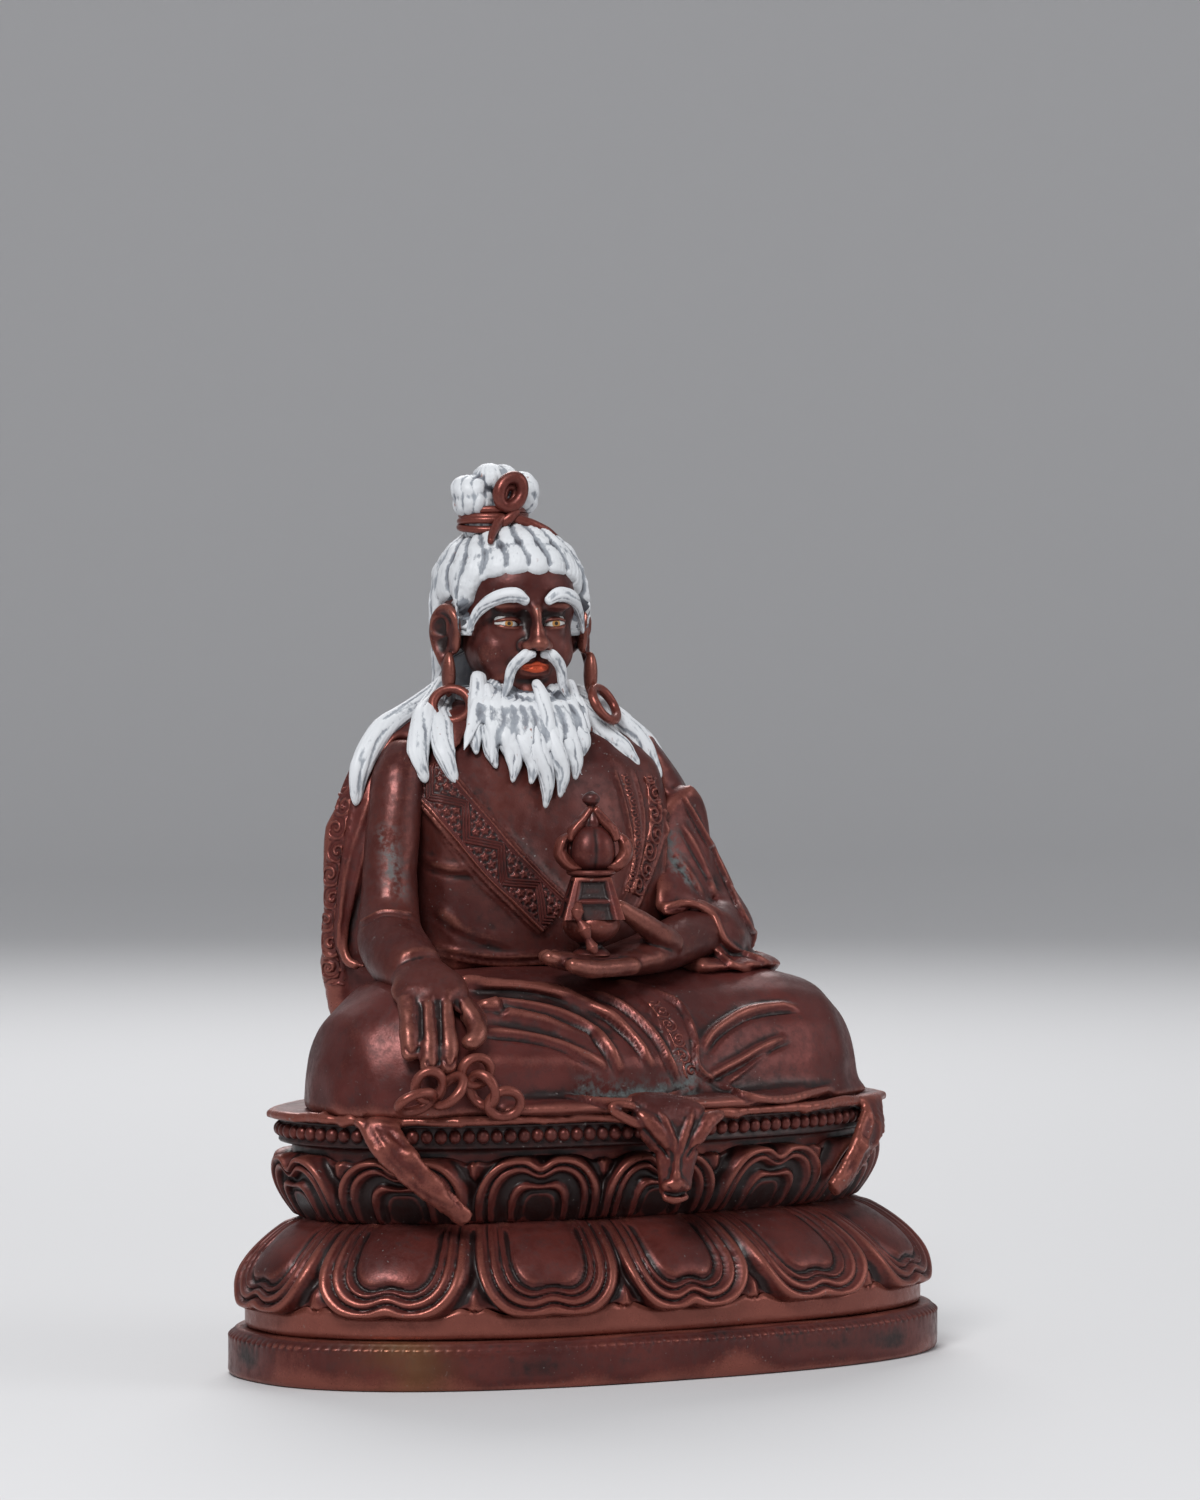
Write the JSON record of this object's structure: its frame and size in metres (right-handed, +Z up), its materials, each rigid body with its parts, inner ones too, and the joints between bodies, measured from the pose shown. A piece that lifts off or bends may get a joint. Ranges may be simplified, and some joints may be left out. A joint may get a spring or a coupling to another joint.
{
  "type": "cast copper statuette of a seated figure on a lotus pedestal",
  "caption": "Small cast statuette: a bearded sage in robes, seated cross-legged on a hide over a double-lotus pedestal, free-standing on its flat foot.",
  "frame": {"origin": "middle of the foot, on the floor", "axes": "+Z up, the long way of the object; -Y is the front; +Y is the shortest way"},
  "size_m": [0.0864, 0.0468, 0.1011],
  "materials": {
    "patinated_copper": "satin",
    "robe_copper": "satin",
    "skin_copper": "satin",
    "white_paint": "matte",
    "base_sheet": "satin",
    "key_metal": "satin"
  },
  "bodies": {
    "root": {"foot_band": "patinated_copper", "base_plate": "base_sheet", "lower_lotus": "patinated_copper", "upper_lotus": "patinated_copper", "pearl_rim": "patinated_copper", "locking_keys": "key_metal", "seat_deck": "base_sheet", "deerskin_mat": "patinated_copper", "deer_head": "patinated_copper", "crossed_legs": "robe_copper", "head": "skin_copper", "torso": "skin_copper", "right_arm": "skin_copper", "right_hand": "skin_copper", "chain_links": "patinated_copper", "left_sleeve": "robe_copper", "vase_body": "patinated_copper", "left_hand": "skin_copper", "vase_scarf": "patinated_copper", "vase_finial": "patinated_copper", "hair_cap": "white_paint", "topknot": "white_paint", "beard": "white_paint", "moustache": "white_paint", "eyebrows": "white_paint", "topknot_loop": "patinated_copper", "hair_tie": "patinated_copper", "ear_ring_right": "patinated_copper", "ear_ring_left": "patinated_copper", "shoulder_locks": "white_paint", "cloak": "robe_copper"}
  },
  "joints": []
}
